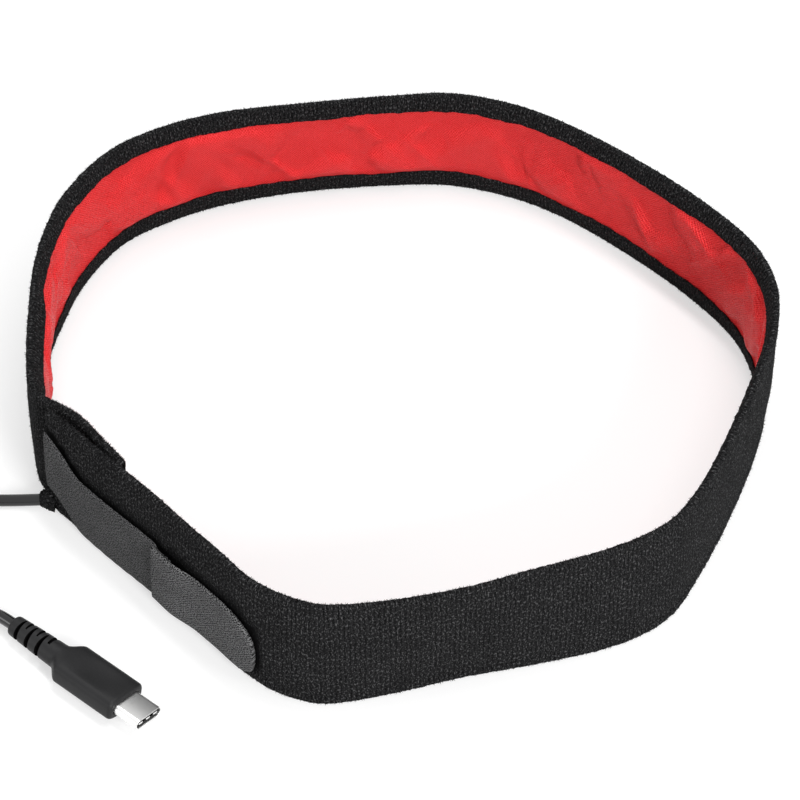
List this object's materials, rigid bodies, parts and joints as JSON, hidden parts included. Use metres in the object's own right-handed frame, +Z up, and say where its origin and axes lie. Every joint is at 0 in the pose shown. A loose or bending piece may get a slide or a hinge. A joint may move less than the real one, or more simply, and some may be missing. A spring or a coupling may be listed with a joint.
{
  "type": "telescope dew heater strip",
  "caption": "Dew heater strip: a grey knit band with a red liner standing in a loop, closed by an elastic strap with a hook tab, and a black cord with a type-C power plug",
  "frame": {"origin": "Centre of the loop's bounding box on the floor plane that the band stands on, the cord left out", "axes": "+Z up; the plug, cord and strap are on the -X side, the lapped side faces -X -Y; the front of the picture is -Y"},
  "size_m": [0.2554, 0.1873, 0.033],
  "materials": {
    "knit_black": "ribbed knit, matte",
    "satin_red": "woven, soft sheen",
    "felt_grey": "felt, matte",
    "film_amber": "translucent film",
    "wire_steel": "drawn",
    "solder_grey": "satin",
    "elastic_grey": "woven elastic, matte",
    "hook_grey": "coarse hook cloth, matte",
    "lead_red": "satin insulation",
    "lead_black": "satin insulation",
    "cord_black": "smooth jacket",
    "mould_black": "fine-grained moulding",
    "nickel": "satin nickel plating",
    "insert_black": "smooth",
    "contact_gold": "gold plated",
    "board_green": "solder resist"
  },
  "bodies": {
    "root": {"outer_cover": "knit_black", "inner_liner": "satin_red", "insulation_pad": "felt_grey", "heater_film": "film_amber", "heating_wire": "wire_steel", "joint_negative": "solder_grey", "lead_negative": "lead_black", "joint_positive": "solder_grey", "lead_positive": "lead_red", "elastic_strap": "elastic_grey", "hook_tab": "hook_grey", "cord_sleeve": "mould_black", "cord_out": "cord_black", "cord_coil": "cord_black", "cord_back": "cord_black", "plug_overmould": "mould_black", "plug_shell": "nickel", "plug_insert": "insert_black", "plug_board": "board_green", "ground_spring_upper": "nickel", "ground_spring_lower": "nickel", "contact_upper_1": "contact_gold", "contact_upper_2": "contact_gold", "contact_upper_3": "contact_gold", "contact_lower_1": "contact_gold", "contact_lower_2": "contact_gold", "contact_lower_3": "contact_gold"}
  },
  "joints": []
}
